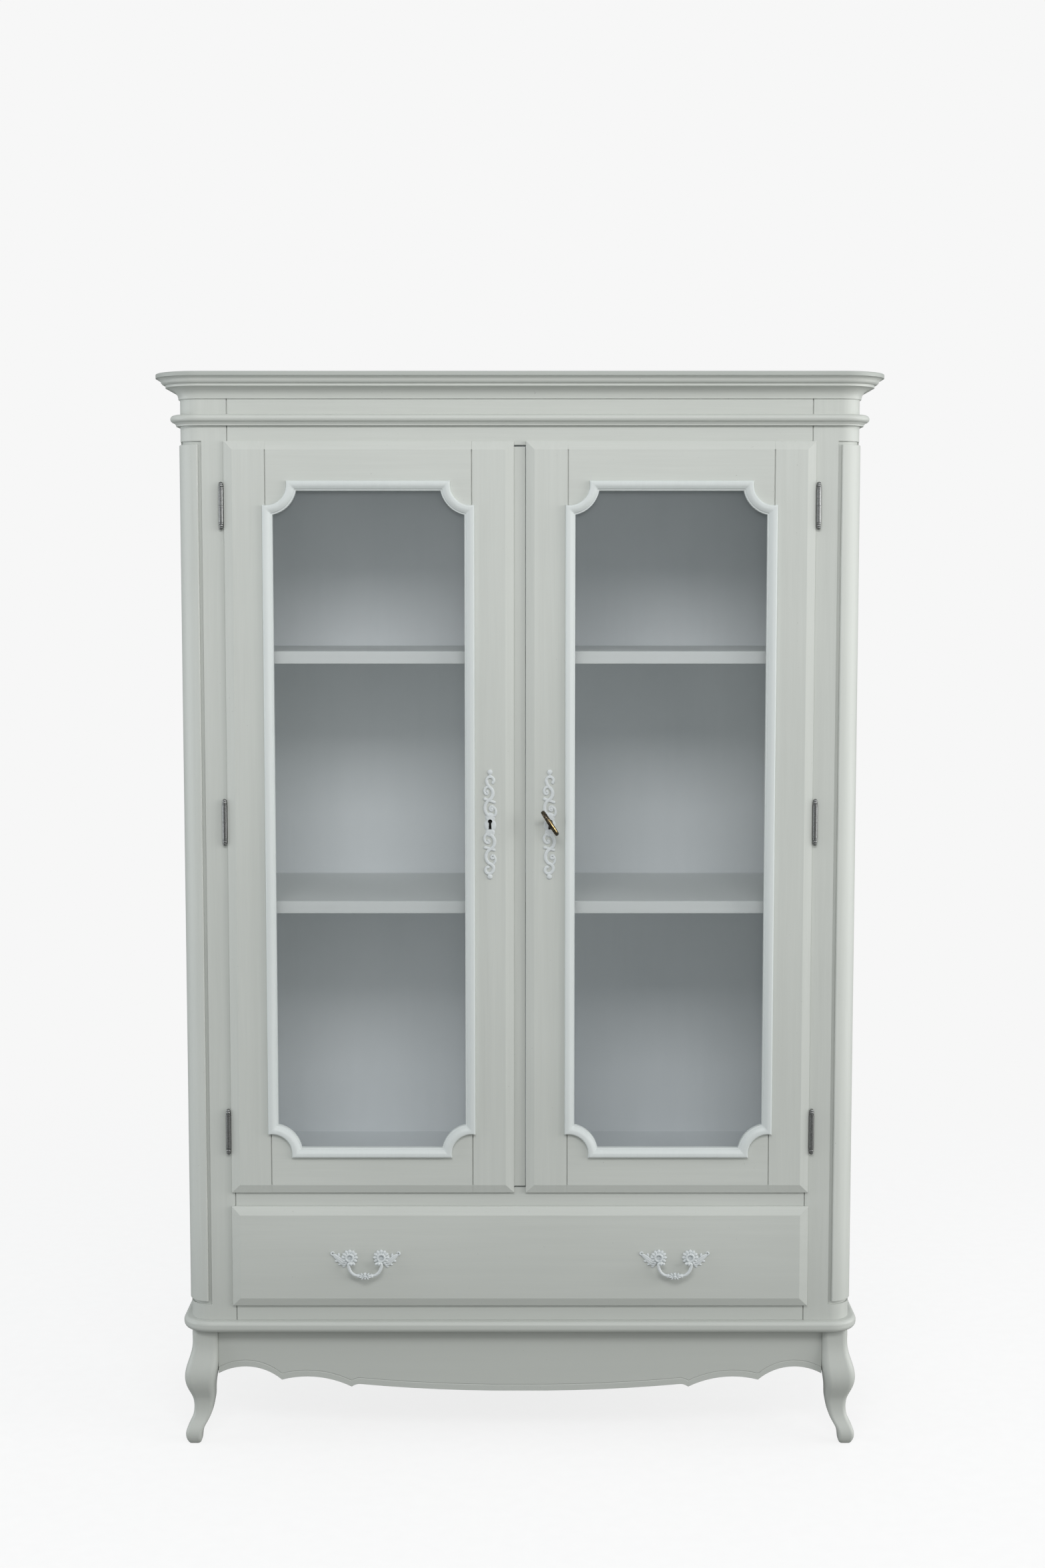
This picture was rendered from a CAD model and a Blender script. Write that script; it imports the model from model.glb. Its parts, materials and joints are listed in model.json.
import json
import math

import bmesh
import bpy
from mathutils import Matrix, Vector

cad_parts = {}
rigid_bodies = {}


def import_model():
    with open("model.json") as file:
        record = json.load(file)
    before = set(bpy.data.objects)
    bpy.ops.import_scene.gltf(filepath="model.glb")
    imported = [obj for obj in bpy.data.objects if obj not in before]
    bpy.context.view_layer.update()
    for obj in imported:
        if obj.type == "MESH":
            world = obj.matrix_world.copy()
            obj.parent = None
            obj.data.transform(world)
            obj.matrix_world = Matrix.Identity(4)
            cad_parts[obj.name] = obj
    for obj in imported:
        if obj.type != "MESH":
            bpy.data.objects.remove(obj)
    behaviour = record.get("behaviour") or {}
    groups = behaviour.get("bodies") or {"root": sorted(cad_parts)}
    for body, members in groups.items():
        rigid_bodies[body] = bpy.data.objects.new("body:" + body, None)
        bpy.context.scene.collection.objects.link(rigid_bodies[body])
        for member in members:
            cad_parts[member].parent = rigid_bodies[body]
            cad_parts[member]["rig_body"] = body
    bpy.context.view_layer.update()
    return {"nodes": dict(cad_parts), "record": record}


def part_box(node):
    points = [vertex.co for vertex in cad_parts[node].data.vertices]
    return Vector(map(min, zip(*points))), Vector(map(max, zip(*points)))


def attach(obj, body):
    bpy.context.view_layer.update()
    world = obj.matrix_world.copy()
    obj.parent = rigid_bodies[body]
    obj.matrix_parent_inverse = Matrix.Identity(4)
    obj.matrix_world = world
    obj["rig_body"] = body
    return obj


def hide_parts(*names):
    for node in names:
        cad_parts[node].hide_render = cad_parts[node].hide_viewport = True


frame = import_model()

# Painted two-door curio cabinet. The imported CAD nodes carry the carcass, and
# the carved and cast pieces are built here and stand for their CAD nodes.
# Helpers that draw a piece work in millimetres, in its own small frame:
# x to the right, y to the back (so a relief grows towards -y), z up.

MM = 0.001
NODES = frame["nodes"]
SIDES = {"left": -1, "right": 1}


# ------------------------------------------------------------ mesh helpers

def new_piece(name, bm, material, place=Vector((0, 0, 0))):
    """Turn a bmesh drawn in millimetres into an object at a place in metres."""
    bm.transform(Matrix.Translation(place) @ Matrix.Scale(MM, 4))
    bmesh.ops.recalc_face_normals(bm, faces=bm.faces)
    mesh = bpy.data.meshes.new(name)
    bm.to_mesh(mesh)
    bm.free()
    mesh.materials.append(material)
    piece = bpy.data.objects.new(name, mesh)
    bpy.context.scene.collection.objects.link(piece)
    return piece


def stand_for(piece, node):
    """Hide a CAD node and let this piece ride in its place."""
    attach(piece, NODES[node]["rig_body"])
    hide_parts(node)


def smooth(mesh, angle=40):
    mesh.shade_smooth()
    mesh.set_sharp_from_angle(angle=math.radians(angle))


def bake_modifiers(piece):
    """Replace a piece's mesh with what its modifiers make of it."""
    depsgraph = bpy.context.evaluated_depsgraph_get()
    made = bpy.data.meshes.new_from_object(piece.evaluated_get(depsgraph))
    piece.modifiers.clear()
    piece.data = made


def cast(piece, voxel, rounds=4):
    """Melt overlapping strokes into one skin, as a casting under thick paint."""
    melt = piece.modifiers.new("melt", "REMESH")
    melt.mode = "VOXEL"
    melt.voxel_size = voxel * MM
    melt.use_smooth_shade = True
    soft = piece.modifiers.new("soft", "SMOOTH")
    soft.factor = 0.5
    soft.iterations = rounds
    bake_modifiers(piece)


def stroke(bm, points, radii, depth=1.0, sides=12):
    """Closed tube through points of an upright plane; depth scales it front to back."""
    count = len(points)
    if not hasattr(radii, "__len__"):
        radii = [radii] * count
    spots = [Vector(p) for p in points]
    rings = []
    for i, spot in enumerate(spots):
        ahead = spots[min(i + 1, count - 1)] - spots[max(i - 1, 0)]
        across = Vector((-ahead.z, 0, ahead.x)).normalized()
        ring = []
        for k in range(sides):
            turn = math.tau * k / sides
            offset = across * math.cos(turn) + Vector((0, depth, 0)) * math.sin(turn)
            ring.append(bm.verts.new(spot + offset * radii[i]))
        rings.append(ring)
    for low, high in zip(rings, rings[1:]):
        for k in range(sides):
            bm.faces.new((low[k], low[k - 1], high[k - 1], high[k]))
    bm.faces.new(rings[0])
    bm.faces.new(reversed(rings[-1]))


def ball(bm, centre, radius, depth=1.0):
    """Ball, or with a depth other than 1 a button."""
    shape = Matrix.Translation(centre) @ Matrix.Diagonal((1, depth, 1, 1))
    bmesh.ops.create_uvsphere(bm, u_segments=18, v_segments=12, radius=radius, matrix=shape)


def drop(bm, centre, length, width, depth, angle):
    """Petal or lobe: an ellipsoid whose long axis leans by an angle from +x to +z."""
    turn = Matrix.Rotation(-angle, 4, "Y")
    shape = Matrix.Translation(centre) @ turn @ Matrix.Diagonal((length / 2, depth, width / 2, 1))
    bmesh.ops.create_uvsphere(bm, u_segments=18, v_segments=12, radius=1, matrix=shape)


def arc(start, through, end, steps):
    """Points of the circular arc through three points of the x-z plane."""
    (ax, az), (bx, bz), (cx, cz) = start, through, end
    double = 2 * (ax * (bz - cz) + bx * (cz - az) + cx * (az - bz))
    squares = [x * x + z * z for x, z in (start, through, end)]
    ox = (squares[0] * (bz - cz) + squares[1] * (cz - az) + squares[2] * (az - bz)) / double
    oz = (squares[0] * (cx - bx) + squares[1] * (ax - cx) + squares[2] * (bx - ax)) / double
    radius = math.hypot(ax - ox, az - oz)
    first, middle, last = (math.atan2(z - oz, x - ox) for x, z in (start, through, end))
    sweep = (last - first) % math.tau
    if (middle - first) % math.tau > sweep:
        sweep -= math.tau
    turns = [first + sweep * i / steps for i in range(steps + 1)]
    return [(ox + radius * math.cos(t), oz + radius * math.sin(t)) for t in turns]


def spine(points, steps=6, y=0.0):
    """Smooth line through a few chosen points, as points in space."""
    flat = [Vector((x, y, z)) for x, z in points]
    ends = [2 * flat[0] - flat[1], *flat, 2 * flat[-1] - flat[-2]]
    line = []
    for a, b, c, d in zip(ends, ends[1:], ends[2:], ends[3:]):
        for i in range(steps):
            t = i / steps
            line.append(0.5 * (2 * b + (c - a) * t + (2 * a - 5 * b + 4 * c - d) * t * t
                               + (3 * b - a - 3 * c + d) * t ** 3))
    return [*line, flat[-1]]


def taper(count, start, middle, end):
    """Radii that swell from start to middle and fall to end."""
    radii = []
    for i in range(count):
        t = i / (count - 1)
        side = start if t < 0.5 else end
        radii.append(side + (middle - side) * math.sin(math.pi * t))
    return radii


def lathe(bm, profile, sides=32):
    """Turned shape about the y axis, from (y, radius) pairs; a zero radius closes an end."""
    rings = []
    for y, radius in profile:
        if radius == 0:
            rings.append([bm.verts.new((0, y, 0))])
            continue
        turns = [math.tau * k / sides for k in range(sides)]
        rings.append([bm.verts.new((radius * math.cos(t), y, radius * math.sin(t))) for t in turns])
    for low, high in zip(rings, rings[1:]):
        for k in range(sides):
            corners = [low[k % len(low)], low[k - 1] if len(low) > 1 else None,
                       high[k - 1] if len(high) > 1 else None, high[k % len(high)]]
            bm.faces.new([c for c in corners if c is not None])


# ------------------------------------------------------------ materials

def linear(red, green, blue):
    """A colour given in 0-255 display values, as the renderer wants it."""
    def channel(value):
        share = value / 255
        return share / 12.92 if share <= 0.04045 else ((share + 0.055) / 1.055) ** 2.4
    return (channel(red), channel(green), channel(blue), 1.0)


class Finish:
    """A material's node tree, with short ways to add nodes and join them."""

    def __init__(self, name):
        self.material = bpy.data.materials.new(name)
        self.material.use_nodes = True
        self.tree = self.material.node_tree
        self.shader = self.tree.nodes["Principled BSDF"]
        self.place = self.add("ShaderNodeTexCoord").outputs["Object"]

    def add(self, kind, **settings):
        node = self.tree.nodes.new(kind)
        for key, value in settings.items():
            setattr(node, key, value)
        return node

    def feed(self, node, socket, value):
        if isinstance(value, bpy.types.NodeSocket):
            self.tree.links.new(value, node.inputs[socket])
        else:
            node.inputs[socket].default_value = value

    def stretched(self, stretch):
        """Object coordinates scaled on each axis."""
        mapping = self.add("ShaderNodeMapping")
        self.feed(mapping, "Vector", self.place)
        self.feed(mapping, "Scale", stretch)
        return mapping.outputs["Vector"]

    def noise(self, stretch, detail=3.0, rough=0.5, warp=0.0):
        node = self.add("ShaderNodeTexNoise")
        self.feed(node, "Vector", self.stretched(stretch))
        self.feed(node, "Scale", 1.0)
        self.feed(node, "Detail", detail)
        self.feed(node, "Roughness", rough)
        self.feed(node, "Distortion", warp)
        return node.outputs["Fac"]

    def span(self, value, low, high, to_low, to_high):
        """Carry a value from one range to another, held at the ends."""
        node = self.add("ShaderNodeMapRange")
        self.feed(node, "Value", value)
        ends = {"From Min": low, "From Max": high, "To Min": to_low, "To Max": to_high}
        for socket, number in ends.items():
            self.feed(node, socket, number)
        return node.outputs["Result"]

    def sums(self, operation, first, second):
        node = self.add("ShaderNodeMath", operation=operation)
        self.feed(node, 0, first)
        self.feed(node, 1, second)
        return node.outputs["Value"]

    def blend(self, share, first, second, mode="MIX"):
        node = self.add("ShaderNodeMix", data_type="RGBA", blend_type=mode)
        self.feed(node, "Factor", share)
        for socket, value in (("A", first), ("B", second)):
            target = next(s for s in node.inputs if s.name == socket and s.type == "RGBA")
            if isinstance(value, bpy.types.NodeSocket):
                self.tree.links.new(value, target)
            else:
                target.default_value = value
        return next(s for s in node.outputs if s.type == "RGBA")

    def mix(self, share, first, second):
        """Mix two shaders."""
        node = self.add("ShaderNodeMixShader")
        for socket, output in ((0, share), (1, first), (2, second)):
            self.tree.links.new(output, node.inputs[socket])
        return node.outputs["Shader"]

    def relief(self, height, strength, distance):
        node = self.add("ShaderNodeBump")
        self.feed(node, "Height", height)
        self.feed(node, "Strength", strength)
        self.feed(node, "Distance", distance)
        self.feed(self.shader, "Normal", node.outputs["Normal"])

    def end(self, **sockets):
        names = {"colour": "Base Color", "rough": "Roughness", "metal": "Metallic", "alpha": "Alpha",
                 "ior": "IOR", "coat": "Coat Weight", "coat_rough": "Coat Roughness",
                 "specular": "Specular IOR Level"}
        for key, value in sockets.items():
            self.feed(self.shader, names[key], value)
        return self.material


def along(grain, across, length):
    """Noise scale for marks drawn out along one axis: fine across it, slow along it."""
    return tuple(length if axis == grain else across for axis in "XYZ")


LOW_PAINT = linear(184, 187, 182)   # the paint is mixed with this tone towards the floor
LOW_FROM = 0.22                     # metres above the floor: full share at and below
LOW_TO = 0.45                       # no share at and above
LOW_SHARE = 0.7


def paint(name, colour, shade, grain, flecks=0.0):
    """Satin paint brushed along the grain, with fine pores, a few dark flecks and a darker foot."""
    finish = Finish(name)
    clouds = finish.noise((2.1, 2.1, 2.1), 3.0)
    streaks = finish.noise(along(grain, 95, 2.6), 4.0, 0.6, 0.4)
    strokes = finish.noise(along(grain, 620, 9.0), 2.0, 0.6)
    pores = finish.noise(along(grain, 1500, 40.0), 1.0)
    tone = finish.sums("ADD", finish.span(clouds, 0.35, 0.65, -0.28, 0.28),
                       finish.span(streaks, 0.32, 0.68, -0.24, 0.24))
    tone = finish.sums("ADD", tone, finish.span(strokes, 0.3, 0.7, -0.16, 0.16))
    mixed = finish.blend(finish.span(tone, -0.5, 0.5, 0.0, 1.0), shade, colour)
    split = finish.add("ShaderNodeSeparateXYZ")
    finish.feed(split, "Vector", finish.place)
    low = finish.span(split.outputs["Z"], LOW_FROM, LOW_TO, LOW_SHARE, 0.0)
    mixed = finish.blend(low, mixed, LOW_PAINT)
    if flecks:
        spots = finish.noise((260, 260, 260), 1.0)
        patches = finish.noise((17, 17, 17), 2.0)
        dark = finish.sums("MULTIPLY", finish.span(spots, 0.755, 0.79, 0.0, 1.0),
                           finish.span(patches, 0.54, 0.64, 0.0, flecks))
        mixed = finish.blend(dark, mixed, linear(120, 122, 116))
    height = finish.sums("ADD", finish.sums("MULTIPLY", strokes, 0.6), finish.sums("MULTIPLY", pores, 0.4))
    finish.relief(height, 0.35, 0.00012)
    rough = finish.span(streaks, 0.3, 0.7, 0.40, 0.52)
    return finish.end(colour=mixed, rough=rough, specular=0.4)


def hardware_paint(name):
    """Thick smooth paint over cast metal, clouded a little in tone and gloss."""
    finish = Finish(name)
    pools = finish.noise((420, 420, 420), 3.0)
    worn = finish.noise((1400, 1400, 1400), 2.0)
    share = finish.span(pools, 0.3, 0.7, 0.0, 1.0)
    colour = finish.blend(share, linear(204, 209, 210), linear(212, 216, 217))
    finish.relief(worn, 0.2, 0.0001)
    return finish.end(colour=colour, rough=finish.span(pools, 0.3, 0.7, 0.36, 0.5), specular=0.45)


def worn_metal(name, bright, dark, rough_low, rough_high, scale):
    """Cast or turned metal: dark patina in patches over a brighter rubbed surface."""
    finish = Finish(name)
    patches = finish.noise((scale, scale, scale), 4.0, 0.6)
    fine = finish.noise((scale * 6, scale * 6, scale * 6), 2.0)
    share = finish.span(patches, 0.38, 0.62, 0.0, 1.0)
    colour = finish.blend(share, dark, bright)
    height = finish.sums("ADD", finish.sums("MULTIPLY", patches, 0.6), finish.sums("MULTIPLY", fine, 0.4))
    finish.relief(height, 0.4, 0.00015)
    return finish.end(colour=colour, metal=1.0, rough=finish.span(fine, 0.3, 0.7, rough_low, rough_high))


def raw_wood(name):
    """Clear-waxed beech of the drawer box: long streaks with short flakes."""
    finish = Finish(name)
    bands = finish.noise((3.0, 3.0, 70.0), 4.0, 0.6, 0.8)
    flakes = finish.noise((60, 60, 700), 2.0)
    share = finish.span(bands, 0.3, 0.7, 0.0, 1.0)
    colour = finish.blend(share, linear(186, 152, 112), linear(214, 184, 146))
    colour = finish.blend(finish.span(flakes, 0.6, 0.72, 0.0, 0.35), colour, linear(150, 112, 76))
    finish.relief(flakes, 0.3, 0.0001)
    return finish.end(colour=colour, rough=finish.span(bands, 0.3, 0.7, 0.42, 0.56))


def glass(name):
    """Float glass with a thin pale film over it, so that it veils what is behind."""
    finish = Finish(name)
    film = finish.noise((5.0, 5.0, 3.0), 4.0, 0.6)
    rough = finish.span(film, 0.3, 0.7, 0.015, 0.06)
    alpha = finish.span(film, 0.3, 0.7, 0.08, 0.1)
    colour = finish.blend(finish.span(film, 0.3, 0.7, 0.0, 1.0), linear(192, 200, 204), linear(200, 207, 210))
    return finish.end(colour=colour, rough=rough, alpha=alpha, specular=0.6)


BODY = (linear(202, 205, 200), linear(195, 198, 193))
TRIM = (linear(214, 219, 218), linear(208, 213, 212))
INSIDE = (linear(230, 234, 237), linear(225, 230, 233))
PAINTS = {grain: paint(f"cabinet_paint_{grain.lower()}", *BODY, grain, 0.4) for grain in "XYZ"}
TOP_PAINT = paint("top_paint", linear(178, 182, 177), linear(172, 176, 171), "X", 0.4)
SHELF_PAINT = paint("shelf_paint", linear(214, 218, 217), linear(209, 213, 212), "X")
TRIM_PAINT = paint("moulding_paint", *TRIM, "Z")
INSIDE_PAINTS = {grain: paint(f"inside_paint_{grain.lower()}", *INSIDE, grain) for grain in "XZ"}
HARDWARE = hardware_paint("hardware_paint")
PEWTER = worn_metal("pewter", linear(150, 151, 150), linear(112, 113, 113), 0.3, 0.4, 700)
BRONZE = worn_metal("key_bronze", linear(104, 94, 76), linear(52, 48, 42), 0.28, 0.42, 300)
BRASS = worn_metal("rubbed_brass", linear(224, 200, 148), linear(150, 124, 76), 0.22, 0.36, 260)
IRON = worn_metal("keyhole_iron", linear(58, 58, 56), linear(34, 34, 33), 0.5, 0.62, 300)
STEEL = worn_metal("steel", linear(196, 197, 198), linear(150, 151, 152), 0.25, 0.4, 90)
BEECH = raw_wood("beech")
GLASS = glass("clear_glass")

INSIDE_NODES = {"back_panel": "Z", "ceiling_board": "X", "display_floor": "X"}
LEVEL_NODES = ("rail", "cornice", "astragal", "board", "apron_front", "drawer_front")
CROSS_NODES = ("side_rails", "aprons_side")


def node_finish(name, slot):
    """The finish of a CAD node, by its slot and the way its boards run."""
    plain = {"painted_hardware": HARDWARE, "pewter": PEWTER, "key_bronze": BRONZE, "steel_fittings": STEEL,
             "drawer_wood": BEECH, "glass": GLASS}
    if slot in plain:
        return plain[slot]
    if name == "top_board":
        return TOP_PAINT
    if name in INSIDE_NODES:
        return INSIDE_PAINTS[INSIDE_NODES[name]]
    if name.startswith("shelf"):
        return SHELF_PAINT
    if slot == "painted_interior":
        return INSIDE_PAINTS["Z"]
    if any(word in name for word in CROSS_NODES):
        return PAINTS["Y"]
    level = any(word in name for word in LEVEL_NODES)
    return PAINTS["X" if level else "Z"]


SLOTS = {row["node"]: row["material_slot"] for row in frame["record"]["subparts"]}


def dress_nodes():
    for name, node in NODES.items():
        node.data.materials.clear()
        node.data.materials.append(node_finish(name, SLOTS[name]))


EDGES = {"painted_wood": 0.9, "painted_interior": 0.9, "painted_hardware": 0.4, "pewter": 0.3,
         "steel_fittings": 0.4, "drawer_wood": 0.8}


def soften(node, width, angle):
    """Ease the edges of a CAD node that turn by more than an angle, as sanding and paint do."""
    weld = node.modifiers.new("weld", "WELD")
    weld.merge_threshold = 0.00001
    flats = node.modifiers.new("flats", "DECIMATE")
    flats.decimate_type = "DISSOLVE"
    flats.angle_limit = math.radians(0.5)
    edges = node.modifiers.new("edges", "BEVEL")
    edges.width = width * MM
    edges.segments = 2
    edges.limit_method = "ANGLE"
    edges.angle_limit = math.radians(angle)
    even = node.modifiers.new("even", "WEIGHTED_NORMAL")
    even.keep_sharp = False


# ------------------------------------------------------------ glazing mouldings

MOULD_W = 19.0           # moulding, from the sight edge outwards
NOTCH_R = 58.0           # hollow corners of the sight
NOTCH_OUT = 11.5         # their centres, outside the corners of the sight
TONGUE_W = 13.8          # part that is let into the door
TONGUE_D = 9.0           # how far in it goes


def moulding_profile():
    """(distance out from the sight edge, height above the door face), closed."""
    points = [(0.0, -TONGUE_D), (0.0, 1.4), (0.3, 2.1), (0.9, 2.4), (2.7, 2.4), (3.1, 2.7), (3.3, 4.0)]
    rise = 10
    for i in range(rise + 1):
        t = i / rise
        points.append((3.6 + 9.0 * t, 4.4 + 4.4 * math.sin(t * math.pi / 2)))
    points += [(15.2, 8.95), (16.8, 8.8), (17.9, 8.3), (18.6, 7.4), (19.0, 6.0), (19.0, -0.4)]
    return points + [(TONGUE_W, -0.4), (TONGUE_W, -TONGUE_D)]


def sight_outline(out, half_w, half_h, steps=14):
    """Hollow-cornered outline at a distance outside the sight edge, with short runs by each mitre."""
    across, up = half_w + out, half_h + out
    radius = NOTCH_R - out
    leg = math.sqrt(radius ** 2 - (out - NOTCH_OUT) ** 2)
    easing = 1.0
    start = math.atan2(-leg, out - NOTCH_OUT)
    stop = math.atan2(out - NOTCH_OUT, -leg)
    sweep = (stop - start) % -math.tau
    quarter = [(across, half_h + NOTCH_OUT - leg - easing)]
    for i in range(steps + 1):
        turn = start + sweep * i / steps
        quarter.append((half_w + NOTCH_OUT + radius * math.cos(turn),
                        half_h + NOTCH_OUT + radius * math.sin(turn)))
    quarter.append((half_w + NOTCH_OUT - leg - easing, up))
    mirrored = [(-x, z) for x, z in reversed(quarter)]
    top = quarter + mirrored
    return top + [(-x, -z) for x, z in top]


def glazing_moulding(side):
    """Moulding that frames one pane, mitred at its hollow corners."""
    node = f"{side}_door_glazing_moulding"
    low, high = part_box(node)
    half_w = (high.x - low.x) / 2 / MM - MOULD_W
    half_h = (high.z - low.z) / 2 / MM - MOULD_W
    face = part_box(f"{side}_door_rails")[0].y
    bm = bmesh.new()
    rings = []
    for out, height in moulding_profile():
        ring = [bm.verts.new((x, -height, z)) for x, z in sight_outline(out, half_w, half_h)]
        rings.append(ring)
    for inner, outer in zip(rings, rings[1:] + rings[:1]):
        for k in range(len(inner)):
            bm.faces.new((inner[k - 1], inner[k], outer[k], outer[k - 1]))
    middle = (low + high) / 2
    piece = new_piece(f"{side}_glazing_moulding_carved", bm, TRIM_PAINT, Vector((middle.x, face, middle.z)))
    smooth(piece.data, 50)
    stand_for(piece, node)


# ------------------------------------------------------------ escutcheons

# Scrolls as arcs (start, point on the arc, end, width), from the keyhole
SCROLLS = (
    ((6.8, 76.5), (0.3, 86.5), (-6.9, 79.0), 4.6),
    ((-6.9, 79.0), (-4.2, 71.0), (0.8, 65.0), 5.0),
    ((0.8, 65.0), (5.6, 55.0), (-2.5, 41.5), 5.6),
    ((-2.5, 67.5), (-11.0, 60.0), (-7.5, 52.2), 4.2),
    ((-7.5, 52.2), (-4.4, 53.5), (-4.6, 57.5), 3.2),
    ((-2.5, 41.5), (-10.0, 26.4), (-2.5, 10.7), 5.2),
    ((8.0, 10.0), (9.8, 24.5), (3.2, 29.7), 4.0),
    ((3.2, 29.7), (-1.2, 25.0), (2.5, 20.2), 3.2),
    ((2.5, 20.2), (5.4, 22.0), (3.6, 24.6), 3.0),
    ((-6.0, -24.5), (-11.0, -35.0), (-4.5, -42.5), 4.4),
    ((-4.5, -42.5), (-0.8, -40.5), (-2.0, -37.4), 3.2),
    ((0.5, -26.0), (8.8, -40.0), (1.5, -53.5), 5.6),
    ((1.5, -53.5), (-8.0, -66.0), (-1.5, -82.0), 5.4),
    ((-1.5, -82.0), (6.8, -91.0), (0.3, -101.0), 5.2),
    ((0.3, -101.0), (-9.2, -95.0), (-4.8, -88.4), 4.8),
    ((1.5, -85.0), (10.2, -72.5), (5.8, -65.6), 3.6),
    ((5.8, -65.6), (1.9, -69.5), (5.2, -73.4), 3.2),
)
# Straight links of the scrollwork (start, end, width)
LINKS = (
    ((0, 84), (0, 94), 4.4),
    ((-9.7, 43.6), (-2.5, 41.0), 4.6),
    ((-2.5, 41.0), (8.1, 37.1), 4.4),
    ((-9.2, -50.7), (1.5, -53.5), 4.4),
    ((1.5, -53.5), (8.1, -55.7), 4.4),
    ((0.3, -100), (-0.4, -107), 4.4),
)
# Round buds (centre, radius)
BUDS = (
    ((0, 95.5), 4.3),
    ((5.6, 75.2), 2.5),
    ((-5.2, 58.0), 2.4),
    ((-9.7, 43.6), 2.9),
    ((8.1, 37.1), 2.4),
    ((3.4, 24.4), 2.6),
    ((-2.8, -37.4), 2.5),
    ((-9.2, -50.7), 2.7),
    ((8.1, -55.7), 2.4),
    ((5.4, -71.8), 2.3),
    ((-4.4, -88.8), 2.7),
    ((-0.4, -107.5), 4.2),
)
LOCK_X = 57.7            # keyholes, from the middle of the cabinet
STROKE_GAIN = 1.2        # strokes are broad enough to touch
PLATE_T = 1.9            # where the strokes start to flatten
CROWN = 0.35             # share of their height that is left above that
KEYHOLE_R = 4.3
KEYHOLE_SLOT = (2.2, 2.9, 15.5)     # half width at the top and the foot, and length
CUTTER_HALF = 9.0
LINER_Y = 1.0            # places the liner behind the door face
LINER_FIT = (0.97, 0.6, 0.98)       # liner, against the keyhole it fills


def keyhole_cutter():
    """Round hole with a flared slot, as a solid to cut with."""
    near, wide, long = KEYHOLE_SLOT
    start = -math.acos(near / KEYHOLE_R)
    turns = [start + (math.pi - 2 * start) * i / 24 for i in range(25)]
    outline = [(KEYHOLE_R * math.cos(t), KEYHOLE_R * math.sin(t)) for t in turns]
    outline += [(-wide, -long), (wide, -long)]
    bm = bmesh.new()
    front = [bm.verts.new((x, -CUTTER_HALF, z)) for x, z in outline]
    back = [bm.verts.new((x, CUTTER_HALF, z)) for x, z in outline]
    bm.faces.new(front)
    bm.faces.new(reversed(back))
    for k in range(len(outline)):
        bm.faces.new((front[k], front[k - 1], back[k - 1], back[k]))
    return bm


def escutcheon(side):
    """Cast scroll plate round a keyhole: flat-topped strokes with round shoulders."""
    node = f"{side}_door_escutcheon"
    low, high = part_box("lock_case")
    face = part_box(f"{side}_door_rails")[0].y
    place = Vector((SIDES[side] * LOCK_X * MM, face, (low.z + high.z) / 2))
    bm = bmesh.new()
    for centre, width, height in (((0, 0.6, -7.5), 24.0, 28.0), ((0, 0.6, 7.5), 20.0, 20.0),
                                  ((0, 0.6, -21.5), 19.0, 19.0)):
        drop(bm, centre, width, height, 3.4, 0.0)
    ball(bm, (0, 0, 0), 7.4, 0.5)
    for start, through, end, width in SCROLLS:
        line = [Vector((x, 0, z)) for x, z in arc(start, through, end, 12)]
        stroke(bm, line, width * STROKE_GAIN / 2, 1.3)
    for start, end, width in LINKS:
        line = [Vector((x, 0, z)) for x, z in (start, end)]
        stroke(bm, line, width * STROKE_GAIN / 2, 1.2)
    for (x, z), radius in BUDS:
        ball(bm, (x, 0, z), radius * STROKE_GAIN, 1.25)
    piece = new_piece(f"{side}_escutcheon_cast", bm, HARDWARE, place)
    cast(piece, 0.42, 2)
    for vert in piece.data.vertices:
        height = (face - vert.co.y) / MM
        if height > PLATE_T:
            vert.co.y = face - (PLATE_T + (height - PLATE_T) * CROWN) * MM
    cutter = new_piece("keyhole_cutter", keyhole_cutter(), HARDWARE, place)
    cut = piece.modifiers.new("keyhole", "BOOLEAN")
    cut.operation = "DIFFERENCE"
    cut.object = cutter
    bake_modifiers(piece)
    bpy.data.objects.remove(cutter)
    smooth(piece.data, 45)
    stand_for(piece, node)


def keyhole_liner():
    """Dark iron let into the dummy keyhole of the left door."""
    low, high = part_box("lock_case")
    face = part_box("left_door_rails")[0].y
    bm = keyhole_cutter()
    behind = Matrix.Translation((0, LINER_Y + CUTTER_HALF, 0))
    bm.transform(behind @ Matrix.Diagonal((*LINER_FIT, 1)))
    place = Vector((-LOCK_X * MM, face, (low.z + high.z) / 2))
    piece = new_piece("keyhole_liner", bm, IRON, place)
    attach(piece, "left_door")


# ------------------------------------------------------------ drawer handles

RING_X = 31.0            # middle of a rosette's ring, from the middle of the handle
RING_R = 7.0
ARM_X = 32.0
PIN_DROP = 8.0           # bail pins below the rosette centres
BAR_DROP = 24.0          # bar below the pins
LUG_IN = 4.5             # lugs stand inside the arms of the bail
ORNAMENT_R = 7.0         # leafy middle of the bail, below its bar
PETALS = 12
# Ribs of the acanthus tail as lines (points from the middle of the handle), with their widths
TAIL_RIBS = (
    (((37, -13), (43, -14.5), (50, -9), (57, -2), (63, 3)), 2.6),
    (((38, -9), (44, -9.5), (51, -4), (58, 1.5), (64, 5)), 2.9),
    (((40, -4.5), (46, -4), (53, 1), (59, 5), (64, 7.5)), 2.6),
)
# Points of the leaf (x, z, length, angle), along both edges of the tail
TAIL_LOBES = (
    (42, -17, 8.0, -38), (50, -13, 8.0, -22), (57, -6.5, 7.0, -12), (45, 1.5, 8.0, 78), (52, 5.5, 8.0, 70),
)


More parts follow.
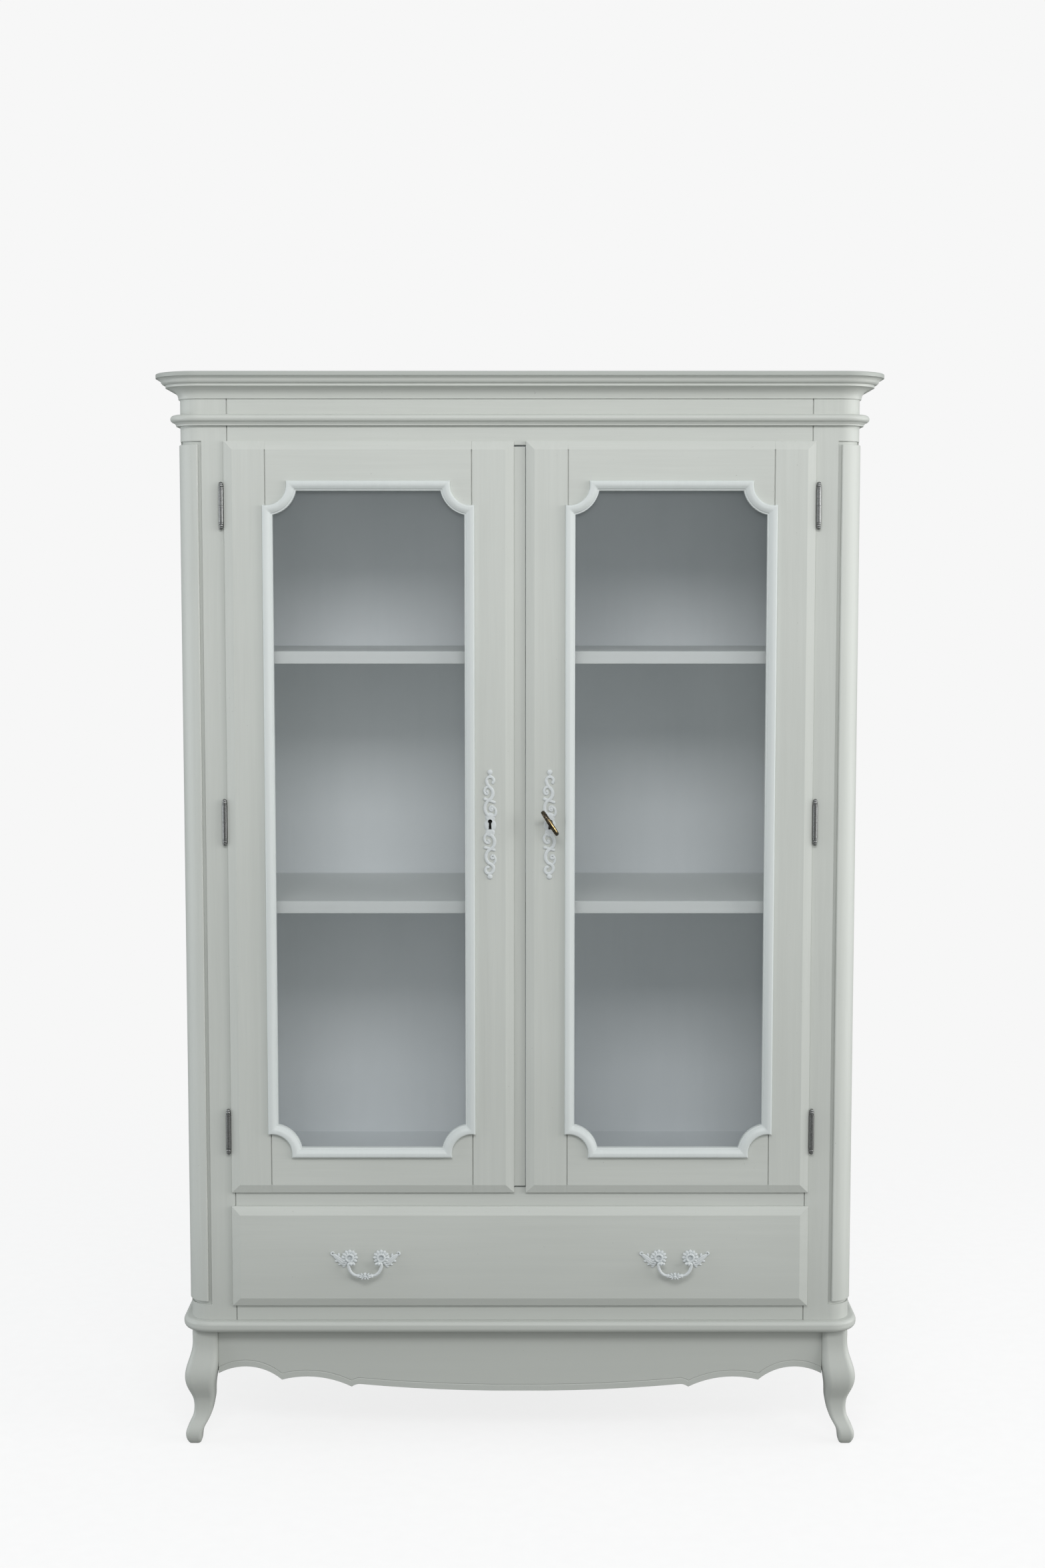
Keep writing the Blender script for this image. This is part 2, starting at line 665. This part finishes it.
def rosette(bm, middle, side):
    """Hollow ring in a fan of petals, with a ribbed leaf that curls outward."""
    def at(x, y, z):
        return Vector((middle + side * x, y, z))

    def lean(degrees):
        return math.radians(degrees if side > 0 else 180 - degrees)

    turns = [math.tau * i / 32 for i in range(34)]
    ring = [at(RING_X + RING_R * math.cos(t), -4.4, 0.5 + RING_R * math.sin(t)) for t in turns]
    stroke(bm, ring, 2.1, 1.0)
    ball(bm, at(RING_X, -0.6, 0.5), 6.4, 0.3)
    ball(bm, at(RING_X, 0.0, 0.5), 14.0, 0.16)
    for i in range(PETALS):
        degrees = 360 * i / PETALS
        turn = math.radians(degrees)
        spot = at(RING_X + 12.0 * math.cos(turn), -1.4, 0.5 + 12.0 * math.sin(turn))
        drop(bm, spot, 9.0, 6.2, 2.8, lean(degrees))
    for points, width in TAIL_RIBS:
        line = spine([(middle + side * x, z) for x, z in points], 6, -0.9)
        stroke(bm, line, taper(len(line), width * 0.8, width, width * 0.45), 1.05)
    for x, z, length, degrees in TAIL_LOBES:
        drop(bm, at(x, -0.7, z), length, 4.8, 2.2, lean(degrees))
    curl = [at(64.6 + 3.0 * math.cos(t), -0.9, 8.4 + 3.0 * math.sin(t))
            for t in [-math.pi / 2 + math.radians(32) * i for i in range(9)]]
    stroke(bm, curl, taper(len(curl), 1.6, 1.8, 1.1), 1.1)


def rosettes():
    """The four cast rosettes of the two handles, and the lugs that carry the bails."""
    bails = [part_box(f"bail_{side}") for side in SIDES]
    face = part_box("drawer_front")[0].y
    low, high = bails[0]
    pivot = ((low.y + high.y) / 2 - face) / MM
    place = Vector((0, face, low.z + (ORNAMENT_R + BAR_DROP + PIN_DROP) * MM))
    petals, lugs = bmesh.new(), bmesh.new()
    for low, high in bails:
        middle = (low.x + high.x) / 2 / MM
        for side in (-1, 1):
            rosette(petals, middle, side)
            lug(lugs, middle + side * (ARM_X - LUG_IN), pivot)
    piece = new_piece("handle_rosettes_cast", petals, HARDWARE, place)
    cast(piece, 0.42, 2)
    stand_for(piece, "handle_rosettes")
    arms = new_piece("handle_lugs_cast", lugs, HARDWARE, place)
    arms.modifiers.new("round", "BEVEL").width = 0.5 * MM
    bake_modifiers(arms)
    smooth(arms.data, 45)
    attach(arms, "drawer")


def lug(bm, x, pivot):
    """Flat eye that carries one pin of a bail."""
    half, eye = 1.75, 3.8
    outline = [(0.0, -PIN_DROP + 3.6), (pivot, -PIN_DROP + eye)]
    for i in range(1, 12):
        turn = math.pi / 2 + math.pi * i / 12
        outline.append((pivot + eye * math.cos(turn), -PIN_DROP + eye * math.sin(turn)))
    outline += [(pivot, -PIN_DROP - eye), (0.0, -PIN_DROP - 3.6)]
    near = [bm.verts.new((x - half, y, z)) for y, z in outline]
    far = [bm.verts.new((x + half, y, z)) for y, z in outline]
    bm.faces.new(near)
    bm.faces.new(reversed(far))
    for k in range(len(outline)):
        bm.faces.new((near[k], near[k - 1], far[k - 1], far[k]))


def bail(side):
    """Drop handle: round bar with curled ends and a leafy middle."""
    node = f"bail_{side}"
    low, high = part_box(node)
    middle = (low + high) / 2
    bm = bmesh.new()
    for way in (-1, 1):
        arm = spine([(way * x, z) for x, z in ((22.5, 0.0), (27.0, 0.6), (31.2, 0.4), (32.2, -3.4),
                                               (31.2, -9.0), (27.0, -17.0), (20.0, -22.4), (10.5, -24.0))], 7)
        stroke(bm, arm, taper(len(arm), 2.4, 3.1, 2.8), 1.0, 16)
        ball(bm, (way * 22.0, 0, 0), 3.0)
        ball(bm, (way * 12.6, 0, -24), 4.4)
        for degrees, reach in ((12, 8.6), (46, 8.2), (82, 6.2), (-18, 8.4), (-52, 8.0), (-86, 6.0)):
            turn = math.radians(degrees)
            spot = (way * reach * math.cos(turn), -1.0, -24.2 + reach * math.sin(turn) * 0.62)
            drop(bm, spot, 7.4, 3.4, 4.6, turn if way > 0 else math.pi - turn)
    stroke(bm, [Vector((x, 0, -24)) for x in (-11, 0, 11)], 3.0, 1.1)
    ball(bm, (0, -1.4, -24.3), 3.4, 1.4)
    place = Vector((middle.x, middle.y, low.z + (ORNAMENT_R + BAR_DROP) * MM))
    piece = new_piece(f"bail_{side}_cast", bm, HARDWARE, place)
    cast(piece, 0.42, 2)
    stand_for(piece, node)


# ------------------------------------------------------------ key

KEY_LEAN = 33.0          # degrees, top of the bow to the left
BOW_HALF = (15.9, 28.0)  # oval bow, front to back and along
BOW_REACH = 16.0         # middle of the bow, behind the front of the key
NECK_Y = 12.6            # turned neck, behind the middle of the bow
BOW_BAND = 5.0
BOW_THICK = 3.9          # half of the bow's thickness
# Turned neck, shank and tip as (distance behind the bow, radius)
KEY_TURNING = (
    (0.0, 3.4), (1.2, 4.6), (2.4, 5.6), (3.6, 5.6), (4.6, 4.4), (5.4, 3.2), (7.2, 3.0), (8.2, 4.4),
    (9.8, 4.8), (10.8, 3.6), (11.6, 2.6),
)
BIT_Y = -189.5           # front of the bit
BIT = (2.4, 6.5, 11.0)
BIT_DROP = 6.6


def key():
    """Key with an oval bow, seen edge-on, leaning in its lock, its front rubbed bright."""
    low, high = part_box("key")
    case_low, case_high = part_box("lock_case")
    bow_y = low.y / MM + BOW_REACH
    bm = bmesh.new()
    steps, sides = 56, 16
    around = []
    for i in range(steps):
        turn = math.tau * i / steps
        out = Vector((0, math.cos(turn) * BOW_HALF[1], math.sin(turn) * BOW_HALF[0])).normalized()
        spot = Vector((0, bow_y + (BOW_HALF[0] - BOW_BAND / 2) * math.cos(turn),
                       (BOW_HALF[1] - BOW_BAND / 2) * math.sin(turn)))
        angles = [math.tau * k / sides for k in range(sides)]
        sideways = Vector((BOW_THICK, 0, 0))
        offsets = [out * (BOW_BAND / 2 * math.cos(a)) + sideways * math.sin(a) for a in angles]
        around.append([bm.verts.new(spot + offset) for offset in offsets])
    for near, far in zip(around, around[1:] + around[:1]):
        for k in range(sides):
            face = bm.faces.new((near[k], near[k - 1], far[k - 1], far[k]))
            centre = face.calc_center_median()
            rubbed = centre.x > 0.3 * BOW_THICK and centre.y < bow_y and -21 < centre.z < 9
            face.material_index = 1 if rubbed else 0
    neck, back = bow_y + NECK_Y, high.y / MM
    turning = [(neck, 0)] + [(neck + y, radius) for y, radius in KEY_TURNING]
    turning += [(back - 4, 2.6), (back - 3.9, 2.0), (back, 2.0), (back, 0)]
    lathe(bm, turning)
    centre = (0, BIT_Y + BIT[1] / 2, -BIT_DROP)
    bmesh.ops.create_cube(bm, size=1, matrix=Matrix.Translation(centre) @ Matrix.Diagonal((*BIT, 1)))
    bm.transform(Matrix.Rotation(math.radians(-KEY_LEAN), 4, "Y"))
    piece = new_piece("key_cast", bm, BRONZE, Vector((LOCK_X * MM, 0, (case_low.z + case_high.z) / 2)))
    piece.data.materials.append(BRASS)
    smooth(piece.data, 45)
    stand_for(piece, "key")


# ------------------------------------------------------------ studio

def stage_finish():
    """Pale floor that fades into the backdrop colour away from the object."""
    finish = Finish("studio_floor")
    radius = finish.add("ShaderNodeVectorMath", operation="LENGTH")
    finish.feed(radius, 0, finish.place)
    fade = finish.add("ShaderNodeMapRange", interpolation_type="SMOOTHSTEP")
    for socket, value in (("Value", radius.outputs["Value"]), ("From Min", FADE_FROM), ("From Max", FADE_TO),
                          ("To Min", 0.0), ("To Max", 1.0)):
        finish.feed(fade, socket, value)
    grain = finish.noise((30, 30, 30), 2.0)
    share = finish.span(grain, 0.3, 0.7, 0.0, 1.0)
    colour = finish.blend(share, linear(113, 113, 113), linear(117, 117, 117))
    finish.end(colour=colour, rough=0.9, specular=0.1)
    finish.shader.inputs["Emission Color"].default_value = linear(*BACKDROP)
    finish.shader.inputs["Emission Strength"].default_value = FLOOR_GLOW
    bright = finish.add("ShaderNodeEmission")
    finish.feed(bright, "Color", linear(*BACKDROP))
    bounce = finish.add("ShaderNodeBsdfDiffuse")
    finish.feed(bounce, "Color", FLOOR_BOUNCE)
    path = finish.add("ShaderNodeLightPath")
    seen = finish.mix(fade.outputs["Result"], finish.shader.outputs["BSDF"], bright.outputs["Emission"])
    both = finish.mix(path.outputs["Is Camera Ray"], bounce.outputs["BSDF"], seen)
    finish.tree.links.new(both, finish.tree.nodes["Material Output"].inputs["Surface"])
    return finish.material


BACKDROP = (247, 247, 247)
FADE_FROM = 1.2          # metres from the middle where the floor starts to fade
FADE_TO = 3.6
AMBIENT = 0.50           # studio bounce light
FLOOR_GLOW = 0.86        # even part of the floor's brightness, so that shadows stay pale
FLOOR_BOUNCE = (0.34, 0.34, 0.33, 1)


def floor():
    bm = bmesh.new()
    bmesh.ops.create_circle(bm, cap_ends=True, radius=40 / MM, segments=64)
    piece = new_piece("studio_floor", bm, stage_finish(), Vector((0, 0, -0.0005)))


def world():
    """Even backdrop for the camera, softer ambient light for the object."""
    made = bpy.data.worlds.new("studio")
    bpy.context.scene.world = made
    made.use_nodes = True
    tree = made.node_tree
    tree.nodes.clear()
    out = tree.nodes.new("ShaderNodeOutputWorld")
    ambient = tree.nodes.new("ShaderNodeBackground")
    ambient.inputs["Color"].default_value = (0.95, 0.985, 1.0, 1)
    ambient.inputs["Strength"].default_value = AMBIENT
    seen = tree.nodes.new("ShaderNodeBackground")
    seen.inputs["Color"].default_value = linear(*BACKDROP)
    path = tree.nodes.new("ShaderNodeLightPath")
    mix = tree.nodes.new("ShaderNodeMixShader")
    tree.links.new(path.outputs["Is Camera Ray"], mix.inputs["Fac"])
    tree.links.new(ambient.outputs["Background"], mix.inputs[1])
    tree.links.new(seen.outputs["Background"], mix.inputs[2])
    tree.links.new(mix.outputs["Shader"], out.inputs["Surface"])


def softbox(name, place, target, width, height, power, colour=(1, 1, 1)):
    data = bpy.data.lights.new(name, "AREA")
    data.shape = "RECTANGLE"
    data.size = width
    data.size_y = height
    data.energy = power
    data.color = colour
    lamp = bpy.data.objects.new(name, data)
    bpy.context.scene.collection.objects.link(lamp)
    lamp.location = place
    lamp.rotation_euler = (Vector(target) - Vector(place)).to_track_quat("-Z", "Y").to_euler()
    lamp.visible_camera = False
    return lamp


def lights():
    softbox("key_light", (7.6, -3.9, 3.0), (0, 0, 1.3), 6.0, 3.4, 250, (1.0, 0.995, 0.98))
    softbox("high_fill", (0.0, -3.6, 3.5), (0, 0, 1.5), 2.5, 1.2, 66, (1.0, 1.0, 1.0))
    softbox("right_side", (5.0, 0.1, 1.0), (0.6, 0.0, 0.8), 3.0, 3.2, 98, (0.99, 1.0, 1.0))
    softbox("left_side", (-4.6, -0.8, 0.9), (-0.6, 0, 0.7), 2.4, 3.0, 76, (0.93, 0.97, 1.0))


CAMERA_PLACE = (0.005, -4.4455, 1.6937)
CAMERA_DOWN = 5.108      # degrees
CAMERA_LENS = 50.51


def camera():
    data = bpy.data.cameras.new("camera")
    data.lens = CAMERA_LENS
    data.sensor_width = 36
    made = bpy.data.objects.new("camera", data)
    bpy.context.scene.collection.objects.link(made)
    made.location = CAMERA_PLACE
    made.rotation_euler = (math.radians(90 - CAMERA_DOWN), 0, 0)
    bpy.context.scene.camera = made


# ------------------------------------------------------------ making

camera()
world()
lights()
floor()
dress_nodes()
for node_name, cad_node in NODES.items():
    if SLOTS[node_name] in EDGES:
        bevelled = any(word in node_name for word in ("stile", "door_rails", "drawer_front"))
        soften(cad_node, EDGES[SLOTS[node_name]], 18 if bevelled else 35)
for door in SIDES:
    glazing_moulding(door)
    escutcheon(door)
    bail(door)
rosettes()
key()
keyhole_liner()

scene = bpy.context.scene
scene.view_settings.view_transform = "Standard"
